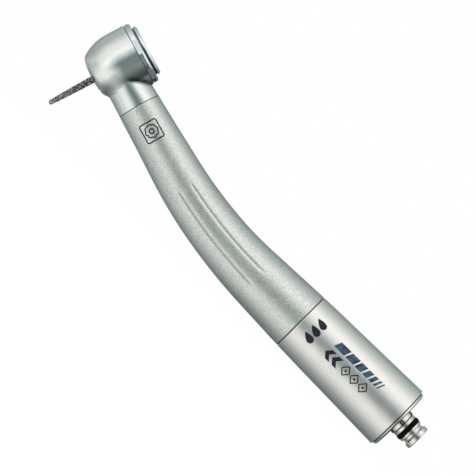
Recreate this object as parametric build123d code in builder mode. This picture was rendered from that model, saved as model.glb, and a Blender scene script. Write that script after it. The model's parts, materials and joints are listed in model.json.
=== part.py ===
from build123d import *
import os
from math import cos, radians, sin, sqrt, tan

# A high speed dental handpiece: an air turbine in the head spins a diamond bur, a bent hollow body
# carries the air and water to it, and a plug at the rear snaps into the hose coupling.
#
# Millimetres. The origin is on the rear axis, at the rear face of the end plate. +X runs out of the
# rear of the body along the plug, +Z is up on the cap side, and the body bends in the XZ plane, with
# the head at the low X end. A station is a distance along the body's centre line, forward from X = 0.

os.makedirs("parts", exist_ok=True)

# ------------------------------------------------------------------ driving dimensions of the body
BEND_X = -57.07  # where the straight rear axis and the straight neck axis would meet
BEND_ANGLE = 15.5
BEND_RADIUS = 105.0
SLEEVE_REAR = 0.85  # stations of the shells' ends
BODY_SEAM = 29.6
NECK_SEAM = 86.9
SHELL_WALL = 0.6
SEAM_STEP = 0.1  # the fine groove that shows at each seam

SLEEVE_RADII = (7.73, 7.41, 7.05)  # at the rear, the middle and the seam
GRIP_STATIONS = (  # station and outer radius, from the seam, over the waist, to the neck
    (BODY_SEAM, 7.05),
    (36.0, 6.78),
    (42.8, 6.48),
    (50.0, 6.11),
    (57.0, 5.84),
    (64.0, 5.60),
    (71.2, 5.33),
    (79.0, 5.00),
    (NECK_SEAM, 4.74),
)
NECK_STATIONS = (  # station, half width across Y and half height: the neck flares into the head
    (89.2, 5.00, 4.64),
    (91.2, 5.22, 4.59),
    (92.7, 5.55, 4.56),
    (93.8, 5.85, 4.53),
)

GROOVE_ANGLE = 16.0  # the grip's side grooves, above and below each side's middle
GROOVE_STATIONS = (40.5, 54.0, 67.5)
GROOVE_CUTTER = 0.2
GROOVE_DEPTHS = (-0.05, 0.15, -0.05)  # the cutter comes out of the surface at both ends

# ------------------------------------------------------------------ driving dimensions of the head
HEAD_X = -93.76  # the head axis, where it crosses the height of the cap ring
HEAD_Z = 16.37
HEAD_TILT = 16.5
HEAD_RADIUS = 7.0
HEAD_TOP = -0.72  # heights along the head axis
RING_BOTTOM = -0.67
RING_TOP = 0.65
BUTTON_TOP = 1.68
SIDE_END = -5.5  # where the straight side of the head turns into its arc
SIDE_ARC_RADIUS = 8.7
NOSE_BOTTOM = -11.85
NOSE_CORNER = (4.88, -11.19)
NOSE_BORE = 1.75
CHAMBER_RADIUS = 5.0
CHAMBER = (-8.2, -4.6)
CAP_THREAD_RADIUS = 5.9
CAP_BORE_RADIUS = 6.32
CAP_STEP = -1.97
FLATS_APOTHEM = 6.81  # six wrench flats on the cap ring
FLATS_TURN = -8.3

BUTTON_TRAVEL = 0.5
PLUNGER_GAP = 0.15
BOSS_TIP_RADIUS = 0.6  # slim enough to enter the spindle as the button goes down

# The two ball bearings, 3.175 x 6.35 x 2.38
BEARING_BORE = 1.59
BEARING_RADIUS = 3.175
BEARING_WIDTH = 2.38
BEARING_SEAT = 3.72
INNER_RACE_RADIUS = 2.05
OUTER_RACE_RADIUS = 2.75
BALL_RADIUS = 0.5
BALL_CIRCLE = 2.4
BALLS = 7
BALL_CLEARANCE = 0.015
POCKET_RADIUS = 0.53
REAR_BEARING = -3.17
FRONT_BEARING = -9.44

SPINDLE_RADIUS = 1.585
SPINDLE = (-11.5, -1.7)
SPINDLE_BORE = 1.25
SHANK_RADIUS = 0.8
CHUCK_BORE = 0.815
BUR_TOP = -3.4
BUR_TIP = -22.3
GRIT_TOP = -12.2

# ------------------------------------------------------------- driving dimensions of the air lines
NECK_BORE = 3.7
NECK_BORE_END = 90.7
INSERT = (87.2, 90.65)
DRIVE_TUBE = (1.1, 0.8)
SMALL_TUBE = (0.6, 0.4)
WATER_AT = (1.9, -2.2)  # across and above the centre line
CHIP_AIR_AT = (-1.9, -2.2)
DRIVE_AT = (0.0, 0.0)
INLET_AT = (2.75, -0.1)
EXHAUST_AT = (-2.35, -0.1)
TUBE_FIT = 0.02
TUBE_SOCKET_END = 88.4

# ------------------------------------------------------------------ driving dimensions of the rear
PLATE_RADIUS = 7.28
PLATE_THICK = 0.65
PLUG_RADIUS = 2.85
COLLAR_RADIUS = 3.02
COLLAR_LENGTH = 1.0
COLLAR_RELIEF = 0.14
PLATE_HOLE = COLLAR_RADIUS + 0.03
PLUG_END = 5.6
SEAL_CROWN = 2.98
SPIGOT_RADIUS = 2.3
SPIGOT_END = -6.0
DRIVE_BORE = 1.1
PORT_RADIUS = 0.35
PORT_CIRCLE = 1.75
BLOCK = (-12.0, -3.5)
BLOCK_RADIUS = 6.8

BASE = (Align.CENTER, Align.CENTER, Align.MIN)

# ----------------------------------------------------------------------------- planes and helpers
bend_tangent = BEND_RADIUS * tan(radians(BEND_ANGLE / 2))
ARC_START = -BEND_X - bend_tangent
ARC_END = ARC_START + BEND_RADIUS * radians(BEND_ANGLE)


def centre(station):
    """Where a station is on the centre line, and how far the line has turned there."""
    if station <= ARC_START:
        return -station, 0.0, 0.0
    turn = min(radians(BEND_ANGLE), (station - ARC_START) / BEND_RADIUS)
    beyond = max(0.0, station - ARC_END)
    x = -ARC_START - BEND_RADIUS * sin(turn) - beyond * cos(turn)
    z = BEND_RADIUS * (1 - cos(turn)) + beyond * sin(turn)
    return x, z, turn


def across(station):
    """The plane across the body at a station: it faces the head, x is toward -Y and y is up."""
    x, z, turn = centre(station)
    return Plane(origin=(x, 0, z), x_dir=(0, -1, 0), z_dir=(-cos(turn), 0, sin(turn)))


def point(station, spot):
    """A point beside the centre line."""
    return across(station).from_local_coords((spot[0], spot[1], 0))


def grip_radius(station):
    """The grip's outer radius between two of its stations."""
    pairs = zip(GRIP_STATIONS, GRIP_STATIONS[1:])
    (s0, r0), (s1, r1) = next(pair for pair in pairs if pair[1][0] >= station)
    return r0 + (r1 - r0) * (station - s0) / (s1 - s0)


def band(inner, outer, low, high, mode=Mode.ADD):
    """A rectangle of a half section: from one radius to another, and between two heights."""
    with Locations(((inner + outer) / 2, (low + high) / 2)):
        Rectangle(outer - inner, high - low, mode=mode)


def soften(profile, spot, radius):
    """Round the corner of a half section that is nearest to a spot."""
    fillet(profile.vertices().sort_by_distance((*spot, 0))[0], radius)


def passage(start, end, radius):
    """Cut a straight round passage from one point to another."""
    run = Vector(end) - Vector(start)
    with Locations(Plane(origin=start, z_dir=run)):
        Cylinder(radius, run.length, align=BASE, mode=Mode.SUBTRACT)


# Half sections: x is the radius and y runs along the axis
BODY_SECTION = Plane(origin=(0, 0, 0), x_dir=(0, 0, 1), z_dir=(0, 1, 0))

seam_x, seam_z, neck_turn = centre(NECK_SEAM)
neck_forward = Vector(-cos(neck_turn), 0, sin(neck_turn))
neck_origin = Vector(seam_x, 0, seam_z) - neck_forward * NECK_SEAM
NECK_AXIS = Axis(neck_origin, neck_forward)
NECK_SECTION = Plane(origin=neck_origin, x_dir=(sin(neck_turn), 0, cos(neck_turn)), z_dir=(0, -1, 0))

tilt = radians(HEAD_TILT)
head_origin = Vector(HEAD_X, 0, HEAD_Z)
head_up = Vector(sin(tilt), 0, cos(tilt))
to_body = Vector(cos(tilt), 0, -sin(tilt))
HEAD = Plane(origin=head_origin, x_dir=to_body, z_dir=head_up)
HEAD_AXIS = Axis(head_origin, head_up)
HEAD_SECTION = Plane(origin=head_origin, x_dir=to_body, z_dir=(0, -1, 0))

pieces = {}

# ------------------------------------------------------------------------------------- the casings
with BuildPart() as rear_sleeve:
    rear, middle, front = SLEEVE_RADII
    half_way = (SLEEVE_REAR + BODY_SEAM) / 2
    with BuildSketch(BODY_SECTION) as sleeve_section:
        with BuildLine():
            outside = ThreePointArc((rear, -SLEEVE_REAR), (middle, -half_way), (front, -BODY_SEAM))
            inside = ThreePointArc(
                (front - SHELL_WALL, -BODY_SEAM),
                (middle - SHELL_WALL, -half_way),
                (rear - SHELL_WALL, -SLEEVE_REAR),
            )
            Line(outside @ 1, inside @ 0)
            Line(inside @ 1, outside @ 0)
        make_face()
        soften(sleeve_section, (rear, -SLEEVE_REAR), SEAM_STEP)
        band(front - SEAM_STEP, front + 1, -BODY_SEAM - 1, -BODY_SEAM + SEAM_STEP, Mode.SUBTRACT)
    revolve(axis=Axis.X)
pieces["rear_sleeve"] = rear_sleeve

with BuildPart() as grip_body:
    for station, radius in GRIP_STATIONS:
        with BuildSketch(across(station)):
            Circle(radius)
    loft()
    for station, radius in GRIP_STATIONS:
        with BuildSketch(across(station)):
            Circle(radius - SHELL_WALL)
    loft(mode=Mode.SUBTRACT)
    for side in (-1, 1):
        for angle in (-GROOVE_ANGLE, GROOVE_ANGLE):
            spots = []
            for station, depth in zip(GROOVE_STATIONS, GROOVE_DEPTHS):
                reach = grip_radius(station) + GROOVE_CUTTER - depth
                spot = (side * reach * cos(radians(angle)), reach * sin(radians(angle)))
                spots.append(point(station, spot))
            with BuildLine():
                groove = ThreePointArc(*spots)
            with BuildSketch(Plane(origin=groove @ 0, z_dir=groove % 0)):
                Circle(GROOVE_CUTTER)
            sweep(mode=Mode.SUBTRACT)
pieces["grip_body"] = grip_body

with BuildPart() as head_housing:
    with BuildSketch(HEAD_SECTION) as head_section:
        with BuildLine():
            arc_centre = HEAD_RADIUS - SIDE_ARC_RADIUS
            half_down = (SIDE_END + NOSE_CORNER[1]) / 2
            half_out = arc_centre + sqrt(SIDE_ARC_RADIUS**2 - (half_down - SIDE_END) ** 2)
            side = ThreePointArc(NOSE_CORNER, (half_out, half_down), (HEAD_RADIUS, SIDE_END))
            dome = NOSE_CORNER[1] - NOSE_BOTTOM
            nose = ThreePointArc(
                (0, NOSE_BOTTOM), (NOSE_CORNER[0] / 2, NOSE_BOTTOM + dome / 4), NOSE_CORNER
            )
            Polyline(side @ 1, (HEAD_RADIUS, HEAD_TOP), (0, HEAD_TOP), nose @ 0)
        make_face()
        soften(head_section, NOSE_CORNER, 1.0)
    revolve(axis=HEAD_AXIS)
    with BuildSketch(across(NECK_SEAM)):
        Circle(GRIP_STATIONS[-1][1])
    for station, half_width, half_height in NECK_STATIONS:
        with BuildSketch(across(station)):
            Ellipse(half_width, half_height)
    loft()
    # The spigot that plugs into the grip, with its seal groove, and the fine groove at the seam
    with BuildSketch(NECK_SECTION):
        band(0, 4.05, 83.5, NECK_SEAM + 0.5)
    revolve(axis=NECK_AXIS)
    with BuildSketch(NECK_SECTION):
        band(GRIP_STATIONS[-1][1] - SEAM_STEP, 6, NECK_SEAM - 1, NECK_SEAM + SEAM_STEP)
        band(3.84, 4.6, 84.95, 85.25)
        band(0, NECK_BORE, 83, NECK_BORE_END)
    revolve(axis=NECK_AXIS, mode=Mode.SUBTRACT)
    # The turbine chamber between the front bearing's seat and the bores that hold the cap
    with BuildSketch(HEAD_SECTION):
        band(0, NOSE_BORE, NOSE_BOTTOM - 1, -11.0)
        band(0, BEARING_SEAT, -11.0, CHAMBER[0])
        band(0, CHAMBER_RADIUS, *CHAMBER)
        band(0, CAP_THREAD_RADIUS, CHAMBER[1], CAP_STEP)
        band(0, CAP_BORE_RADIUS, CAP_STEP, 1)
        band(4.6, 5.1, -9.5, -9.0)
    revolve(axis=HEAD_AXIS, mode=Mode.SUBTRACT)
    for spot, radius in ((INLET_AT, 0.6), (EXHAUST_AT, 1.0)):
        passage(point(NECK_BORE_END - 0.2, spot), point(93.0, spot), radius)
    # Water and chip air meet in a ring gallery and leave by four spray ports around the bur
    for across_y in (-1, 1):
        upper = HEAD.from_local_coords((6.3, 1.85 * across_y, -8.1))
        lower = HEAD.from_local_coords((4.3, 2.2 * across_y, -9.25))
        passage(upper, lower, PORT_RADIUS)
    with Locations(HEAD):
        with PolarLocations(0, 4, start_angle=45):
            with Locations(Plane(origin=(4.85, 0, -9.25), z_dir=(-0.9, 0, -2.5))):
                Cylinder(0.22, 3.2, align=BASE, mode=Mode.SUBTRACT)
pieces["head_housing"] = head_housing

# ----------------------------------------------------------------------------- the cap and button
with BuildPart() as cap_ring:
    with BuildSketch(HEAD_SECTION) as ring_section:
        band(5.55, HEAD_RADIUS, RING_BOTTOM, RING_TOP)
        band(5.9, 6.3, -1.42, RING_BOTTOM)
        band(5.0, 5.9, RING_BOTTOM, -0.15, Mode.SUBTRACT)
        band(5.0, 6.05, 0.4, RING_TOP, Mode.SUBTRACT)
        soften(ring_section, (HEAD_RADIUS, RING_TOP), 0.5)
    revolve(axis=HEAD_AXIS)
    with BuildSketch(HEAD.offset(-2)):
        RegularPolygon(FLATS_APOTHEM, 6, major_radius=False, rotation=FLATS_TURN)
    extrude(amount=4, mode=Mode.INTERSECT)
pieces["cap_ring"] = cap_ring

with BuildPart() as cap_cup:
    with BuildSketch(HEAD_SECTION):
        band(1.9, 6.28, -1.95, -1.45)
        band(BEARING_SEAT, CAP_THREAD_RADIUS - 0.02, -4.55, -1.95)
        band(5.38, 6.0, -2.7, -2.2, Mode.SUBTRACT)
    revolve(axis=HEAD_AXIS)
pieces["cap_cup"] = cap_cup

with BuildPart() as push_button:
    with BuildSketch(HEAD_SECTION) as button_section:
        band(0, 5.8, 1.02, BUTTON_TOP)
        band(0, 5.35, -0.2, 1.02)
        band(0, 5.75, -0.65, -0.2)
        band(0, 4.9, -0.65, 0.9, Mode.SUBTRACT)
        band(0, 2.6, -0.3, 0.9)
        band(0, 1.0, -1.1, -0.3)
        band(0, BOSS_TIP_RADIUS, -1.5 + PLUNGER_GAP, -1.1)
        soften(button_section, (5.8, BUTTON_TOP), 0.45)
    revolve(axis=HEAD_AXIS)
pieces["push_button"] = push_button

with BuildPart() as button_spring:
    with BuildSketch(HEAD_SECTION):
        with BuildLine():
            Polyline((2.2, -0.34), (4.6, -1.28), (4.6, -1.44), (2.2, -0.5), close=True)
        make_face()
    revolve(axis=HEAD_AXIS)
    with Locations(HEAD.offset(-2)):
        with PolarLocations(3.0, 6):
            Box(1.4, 0.5, 4, align=BASE, mode=Mode.SUBTRACT)
pieces["button_spring"] = button_spring


# ------------------------------------------------------------------------------ the turbine's rotor
with BuildPart() as turbine_spindle:
    with BuildSketch(HEAD_SECTION):
        band(0.7, SPINDLE_RADIUS, *SPINDLE)
        band(0, SPINDLE_BORE, SPINDLE[0], -3.3, Mode.SUBTRACT)
    revolve(axis=HEAD_AXIS)
pieces["turbine_spindle"] = turbine_spindle

with BuildPart() as impeller:
    bucket = ThreePointArc((2.0, 0.0), (3.4, 0.8), (4.42, 0.3), mode=Mode.PRIVATE)
    with BuildSketch(HEAD.offset(-7.9)):
        with PolarLocations(0, 8):
            SlotArc(bucket, 0.4)
    extrude(amount=3.0)
    with BuildSketch(HEAD_SECTION):
        band(SPINDLE_RADIUS, 2.05, -8.2, -4.4)
    revolve(axis=HEAD_AXIS)
    with BuildSketch(HEAD.offset(-8.5)):
        Circle(SPINDLE_RADIUS)
    extrude(amount=5, mode=Mode.SUBTRACT)
pieces["impeller"] = impeller

with BuildPart() as chuck_collet:
    with BuildSketch(HEAD_SECTION):
        band(CHUCK_BORE, SPINDLE_BORE - TUBE_FIT, -11.45, -5.0)
    revolve(axis=HEAD_AXIS)
    with Locations(HEAD.offset(-11.6)):
        with PolarLocations(1.0, 3):
            Box(1.2, 0.22, 5.4, align=BASE, mode=Mode.SUBTRACT)
pieces["chuck_collet"] = chuck_collet

with BuildPart() as chuck_plunger:
    with BuildSketch(HEAD_SECTION):
        band(0, 0.66, -2.95, -1.5)
    revolve(axis=HEAD_AXIS)
pieces["chuck_plunger"] = chuck_plunger

with BuildPart() as diamond_bur:
    with BuildSketch(HEAD_SECTION) as bur_section:
        with BuildLine():
            flank = ThreePointArc((0.83, GRIT_TOP - 0.1), (0.74, -17.2), (0.55, BUR_TIP))
            Polyline(
                flank @ 1,
                (0, BUR_TIP),
                (0, BUR_TOP),
                (SHANK_RADIUS, BUR_TOP),
                (SHANK_RADIUS, GRIT_TOP),
                flank @ 0,
            )
        make_face()
        soften(bur_section, (SHANK_RADIUS, BUR_TOP), 0.2)
        soften(bur_section, (0.55, BUR_TIP), 0.45)
    revolve(axis=HEAD_AXIS)
pieces["diamond_bur"] = diamond_bur

# ---------------------------------------------------------------------------------- the bearings
for side, middle in (("front", FRONT_BEARING), ("rear", REAR_BEARING)):
    low, high = middle - BEARING_WIDTH / 2, middle + BEARING_WIDTH / 2

    with BuildPart() as outer_race:
        with BuildSketch(HEAD_SECTION):
            band(OUTER_RACE_RADIUS, BEARING_RADIUS, low, high)
            with Locations((BALL_CIRCLE, middle)):
                Circle(BALL_RADIUS + BALL_CLEARANCE, mode=Mode.SUBTRACT)
        revolve(axis=HEAD_AXIS)
    pieces[f"{side}_bearing_outer_race"] = outer_race

    with BuildPart() as inner_race:
        with BuildSketch(HEAD_SECTION):
            band(BEARING_BORE, INNER_RACE_RADIUS, low, high)
            with Locations((BALL_CIRCLE, middle)):
                Circle(BALL_RADIUS + BALL_CLEARANCE, mode=Mode.SUBTRACT)
        revolve(axis=HEAD_AXIS)
    pieces[f"{side}_bearing_inner_race"] = inner_race

    with BuildPart() as balls:
        with Locations(HEAD.offset(middle)):
            with PolarLocations(BALL_CIRCLE, BALLS):
                Sphere(BALL_RADIUS)
    pieces[f"{side}_bearing_balls"] = balls

    with BuildPart() as cage:
        with BuildSketch(HEAD_SECTION):
            band(2.2, 2.6, middle - 0.8, middle + 0.8)
        revolve(axis=HEAD_AXIS)
        with Locations(HEAD.offset(middle)):
            with PolarLocations(BALL_CIRCLE, BALLS):
                Cylinder(POCKET_RADIUS, 1.2, rotation=(0, 90, 0), mode=Mode.SUBTRACT)
    pieces[f"{side}_bearing_cage"] = cage

    with BuildPart() as bearing_seal:
        with BuildSketch(HEAD_SECTION):
            with Locations(((BEARING_RADIUS + BEARING_SEAT) / 2, middle)):
                Circle((BEARING_SEAT - BEARING_RADIUS) / 2 - 0.005)
        revolve(axis=HEAD_AXIS)
    pieces[f"{side}_bearing_o_ring"] = bearing_seal

with BuildPart() as preload_washer:
    with BuildSketch(HEAD_SECTION):
        with BuildLine():
            Polyline((2.8, -10.66), (3.55, -10.9), (3.55, -10.98), (2.8, -10.74), close=True)
        make_face()
    revolve(axis=HEAD_AXIS)
pieces["preload_washer"] = preload_washer

# ------------------------------------------------------------------------------------- the seals
seals = {
    "cap_o_ring": (HEAD_SECTION, HEAD_AXIS, 5.64, -2.45, 0.23),
    "neck_o_ring": (NECK_SECTION, NECK_AXIS, 3.98, 85.1, 0.13),
    "body_o_ring": (BODY_SECTION, Axis.X, 6.26, -28.0, 0.19),
}
for name, (section, axis, middle_radius, height, cord_radius) in seals.items():
    with BuildPart() as seal:
        with BuildSketch(section):
            with Locations((middle_radius, height)):
                Circle(cord_radius)
        revolve(axis=axis)
    pieces[name] = seal

# ------------------------------------------------------------------------- the air and water lines
with BuildPart() as nozzle_insert:
    with BuildSketch(NECK_SECTION):
        band(0, NECK_BORE - TUBE_FIT, *INSERT)
    revolve(axis=NECK_AXIS)
    rear_end, front_end = INSERT[0] - 0.1, INSERT[1] + 0.1
    passage(point(rear_end, DRIVE_AT), point(TUBE_SOCKET_END, DRIVE_AT), DRIVE_TUBE[0] + TUBE_FIT)
    passage(point(TUBE_SOCKET_END - 0.4, DRIVE_AT), point(front_end, INLET_AT), 0.6)
    passage(point(rear_end, EXHAUST_AT), point(front_end, EXHAUST_AT), 1.0)
    for spot in (WATER_AT, CHIP_AIR_AT):
        passage(point(rear_end, spot), point(TUBE_SOCKET_END, spot), SMALL_TUBE[0] + TUBE_FIT)
        passage(point(rear_end, spot), point(front_end, spot), PORT_RADIUS)
pieces["nozzle_insert"] = nozzle_insert

tubes = {
    "drive_air_tube": (DRIVE_AT, DRIVE_TUBE, 6.05),
    "water_tube": (WATER_AT, SMALL_TUBE, 9.05),
    "chip_air_tube": (CHIP_AIR_AT, SMALL_TUBE, 9.05),
}
for name, (spot, (outer, inner), rear_station) in tubes.items():
    with BuildPart() as tube:
        with BuildLine():
            bend = ThreePointArc(
                point(ARC_START, spot), point((ARC_START + ARC_END) / 2, spot), point(ARC_END, spot)
            )
            Line(point(rear_station, spot), bend @ 0)
            Line(bend @ 1, point(TUBE_SOCKET_END - 0.05, spot))
        with BuildSketch(Plane(origin=point(rear_station, spot), z_dir=(-1, 0, 0))):
            Circle(outer)
            Circle(inner, mode=Mode.SUBTRACT)
        sweep()
    pieces[name] = tube

for name, station, thickness in (("rear_tube_guide", 45.0, 1.6), ("front_tube_guide", 72.0, 1.4)):
    guide_radius = grip_radius(station + thickness) - SHELL_WALL - 0.05
    vent_circle = 0.58 * guide_radius
    with BuildPart() as tube_guide:
        with BuildSketch(across(station)):
            Circle(guide_radius)
            for spot, (outer, inner) in ((DRIVE_AT, DRIVE_TUBE), (WATER_AT, SMALL_TUBE), (CHIP_AIR_AT, SMALL_TUBE)):
                with Locations(spot):
                    Circle(outer + TUBE_FIT, mode=Mode.SUBTRACT)
            with PolarLocations(vent_circle, 3, start_angle=20, angular_range=140, endpoint=True):
                Circle(0.2 * guide_radius, mode=Mode.SUBTRACT)
        extrude(amount=thickness)
    pieces[name] = tube_guide

# ----------------------------------------------------------------------------- the rear of the body
with BuildPart() as body_joint_ring:
    with BuildSketch(BODY_SECTION):
        band(5.6, 6.4, -BODY_SEAM, -26.3)
        band(5.6, 6.2, -33.0, -BODY_SEAM)
        band(6.06, 6.6, -28.25, -27.75, Mode.SUBTRACT)
    revolve(axis=Axis.X)
pieces["body_joint_ring"] = body_joint_ring

with BuildPart() as manifold_block:
    with BuildSketch(BODY_SECTION):
        band(0, BLOCK_RADIUS, *BLOCK)
        band(0, SPIGOT_RADIUS + TUBE_FIT, SPIGOT_END - 0.02, BLOCK[1], Mode.SUBTRACT)
        band(0, DRIVE_TUBE[0] + TUBE_FIT, BLOCK[0], SPIGOT_END, Mode.SUBTRACT)
    revolve(axis=Axis.X)
    for spot in (WATER_AT, CHIP_AIR_AT):
        reach = sqrt(spot[0] ** 2 + spot[1] ** 2)
        port = (spot[0] * PORT_CIRCLE / reach, spot[1] * PORT_CIRCLE / reach)
        passage(point(12.1, spot), point(9.0, spot), SMALL_TUBE[0] + TUBE_FIT)
        passage(point(9.2, spot), point(5.9, port), PORT_RADIUS)
    with Locations(across(3.0)):
        with PolarLocations(5.1, 6):
            Cylinder(1.0, 20, mode=Mode.SUBTRACT)
pieces["manifold_block"] = manifold_block

with BuildPart() as rear_end_plate:
    with BuildSketch(BODY_SECTION) as plate_section:
        band(PLATE_HOLE, PLATE_RADIUS, -PLATE_THICK, 0)
        band(6.3, 6.85, -SLEEVE_REAR, -PLATE_THICK)
        band(6.3, 7.06, -3.4, -SLEEVE_REAR)
        soften(plate_section, (PLATE_RADIUS, 0), 0.55)
    revolve(axis=Axis.X)
pieces["rear_end_plate"] = rear_end_plate

with BuildPart() as end_plate_gasket:
    with BuildSketch(BODY_SECTION):
        band(6.87, 7.22, -SLEEVE_REAR, -PLATE_THICK)
    revolve(axis=Axis.X)
pieces["end_plate_gasket"] = end_plate_gasket

with BuildPart() as coupling_plug:
    with BuildSketch(BODY_SECTION):
        with BuildLine():
            Polyline(
                (DRIVE_BORE, SPIGOT_END),
                (SPIGOT_RADIUS, SPIGOT_END),
                (SPIGOT_RADIUS, 0.8),
                (2.6, 0.8),
                (2.6, 0.0),
                (PLUG_RADIUS, 0.0),
                (PLUG_RADIUS, COLLAR_RELIEF),
                (COLLAR_RADIUS, COLLAR_RELIEF),
                (COLLAR_RADIUS, COLLAR_LENGTH),
                (2.66, COLLAR_LENGTH),
                (2.66, 1.22),
                (PLUG_RADIUS, 1.22),
                (PLUG_RADIUS, 1.9),
                (2.38, 1.9),
                (2.38, 3.05),
                (PLUG_RADIUS, 3.05),
                (PLUG_RADIUS, 3.45),
                (2.4, 3.65),
                (2.4, 4.15),
                (PLUG_RADIUS, 4.6),
                (PLUG_RADIUS, PLUG_END - 0.15),
                (PLUG_RADIUS - 0.15, PLUG_END),
                (DRIVE_BORE, PLUG_END),
                close=True,
            )
        make_face()
    revolve(axis=Axis.X)
    # Six windows let the spent air out of the collar
    with Locations(across(-0.5)):
        with PolarLocations(2.9, 6):
            Box(0.8, 0.9, 0.6, mode=Mode.SUBTRACT)
    for spot in (WATER_AT, CHIP_AIR_AT):
        reach = sqrt(spot[0] ** 2 + spot[1] ** 2)
        port = (spot[0] * PORT_CIRCLE / reach, spot[1] * PORT_CIRCLE / reach)
        passage(point(6.1, port), point(-PLUG_END - 0.1, port), PORT_RADIUS)
pieces["coupling_plug"] = coupling_plug

with BuildPart() as plug_o_ring:
    with BuildSketch(BODY_SECTION):
        with BuildLine():
            crown = ThreePointArc((2.7, 1.93), (SEAL_CROWN, (1.93 + 3.02) / 2), (2.7, 3.02))
            Polyline(crown @ 1, (2.4, 3.02), (2.4, 1.93), crown @ 0)
        make_face()
    revolve(axis=Axis.X)
pieces["plug_o_ring"] = plug_o_ring

for name, piece in pieces.items():
    piece.part.label = name
    export_step(piece.part, f"parts/{name}.step")
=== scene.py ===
"""Looks of the high speed dental handpiece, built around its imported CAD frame.

The surfaces that show are rebuilt here as dense meshes on the CAD's own dimensions, each riding on
its CAD body. Sizes are millimetres in the row frame, and MM turns them into Blender's metres.
"""

import json
import math

import bmesh
import bpy
import numpy as np
from mathutils import Matrix, Vector


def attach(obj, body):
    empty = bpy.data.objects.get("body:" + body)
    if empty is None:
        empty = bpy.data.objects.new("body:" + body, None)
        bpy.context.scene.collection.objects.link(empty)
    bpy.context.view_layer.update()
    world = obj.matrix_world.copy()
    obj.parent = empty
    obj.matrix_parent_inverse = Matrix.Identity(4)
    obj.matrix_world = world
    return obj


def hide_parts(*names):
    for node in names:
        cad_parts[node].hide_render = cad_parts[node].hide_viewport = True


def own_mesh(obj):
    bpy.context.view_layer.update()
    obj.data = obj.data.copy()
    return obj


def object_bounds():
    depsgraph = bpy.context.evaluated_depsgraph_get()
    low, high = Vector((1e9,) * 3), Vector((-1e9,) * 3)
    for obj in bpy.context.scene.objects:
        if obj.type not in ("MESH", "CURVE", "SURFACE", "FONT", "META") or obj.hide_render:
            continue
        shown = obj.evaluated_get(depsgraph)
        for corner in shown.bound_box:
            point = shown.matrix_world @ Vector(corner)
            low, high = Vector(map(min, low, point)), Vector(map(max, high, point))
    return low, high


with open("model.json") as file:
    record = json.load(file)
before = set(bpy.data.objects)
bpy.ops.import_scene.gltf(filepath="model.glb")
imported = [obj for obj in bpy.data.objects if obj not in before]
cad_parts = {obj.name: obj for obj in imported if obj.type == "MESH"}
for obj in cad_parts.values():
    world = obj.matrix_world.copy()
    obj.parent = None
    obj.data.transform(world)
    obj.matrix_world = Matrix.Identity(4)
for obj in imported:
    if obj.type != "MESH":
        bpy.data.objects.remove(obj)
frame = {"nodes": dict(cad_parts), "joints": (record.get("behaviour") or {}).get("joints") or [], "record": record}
cad_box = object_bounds()

MM = 0.001

# ---- the body's dimensions, as in the CAD
BEND_X = -57.07
BEND_ANGLE = math.radians(15.5)
BEND_RADIUS = 105.0
SLEEVE_REAR = 0.85
BODY_SEAM = 29.6
NECK_SEAM = 86.9
BODY_SEAM_GAP = 0.18
NECK_SEAM_GAP = 0.12
SEAM_DEPTH = 0.12
SHELL_WALL = 0.6
BODY_RADII = (  # station along the centre line, outer radius
    (SLEEVE_REAR, 7.72), (15.2, 7.41), (BODY_SEAM, 7.05), (36.0, 6.78), (42.8, 6.48), (50.0, 6.11),
    (57.0, 5.84), (64.0, 5.60), (71.2, 5.33), (79.0, 5.00), (NECK_SEAM, 4.74),
)
NECK_HALF_SIZES = (  # station, half width across Y, half height
    (84.0, 4.84, 4.84), (NECK_SEAM, 4.74, 4.74), (89.2, 4.99, 4.64), (91.2, 5.22, 4.58),
    (92.7, 5.52, 4.55), (93.8, 5.82, 4.52),
)
NECK_BORE = 3.7
SPIGOT_START = 83.5  # where the head's spigot starts inside the grip
SPIGOT_RADIUS = 4.05
GROOVE_ANGLE = math.radians(15.8)
GROOVE_ENDS = (41.2, 68.0)
GROOVE_FADE = 3.4
GROOVE_SPREAD = (0.22, 0.20)  # how gently the groove's inner and outer walls fall
GROOVE_DEPTH = 0.15

# ---- the head's dimensions, as radii and heights above its origin
HEAD_RADIUS = 7.0
HEAD_TOP = -0.74
SIDE_END = -4.9  # where the straight side turns into an arc, which is 0.1 mm slimmer than the CAD's
SIDE_ARC_RADIUS = 10.39
NOSE_BOTTOM = -11.85
NOSE_CORNER = (4.88, -11.19)
NOSE_ROUNDING = 1.0
NOSE_TUCK = 0.13  # how much the nose is drawn in on the neck's side, which the CAD's isn't
NOSE_TUCK_HEIGHTS = (-10.9, -8.2)
BLANK_TOP = 2.0  # the head is modelled up to here and then trimmed to HEAD_TOP
NECK_INNER_END = 96.0  # the station where the neck's form ends inside the head
VOXEL = 0.12
SPRAY_PORT = ((4.85, -9.25), (3.70, -12.5))  # a port's two ends, as radius and height
SPRAY_PORT_RADIUS = 0.22
FLATS_APOTHEM = 6.66
FLATS_TURN = math.radians(21.7)
CRISP_BLEND = 0.2  # the join of head and neck under the cap, and the soft one at the nose
SOFT_BLEND = 0.7
BLEND_HEIGHTS = (-8.6, -5.4)

bend_tangent = BEND_RADIUS * math.tan(BEND_ANGLE / 2)
ARC_START = -BEND_X - bend_tangent
ARC_END = ARC_START + BEND_RADIUS * BEND_ANGLE

joints = {joint["name"]: joint for joint in frame["joints"]}
HEAD_ORIGIN = np.array(joints["turbine_spin"]["pos_m"]) / MM
HEAD_UP = np.array(joints["turbine_spin"]["axis"], float)
TO_BODY = np.array((HEAD_UP[2], 0.0, -HEAD_UP[0]))
Y_AXIS = np.array((0.0, 1.0, 0.0))


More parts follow.
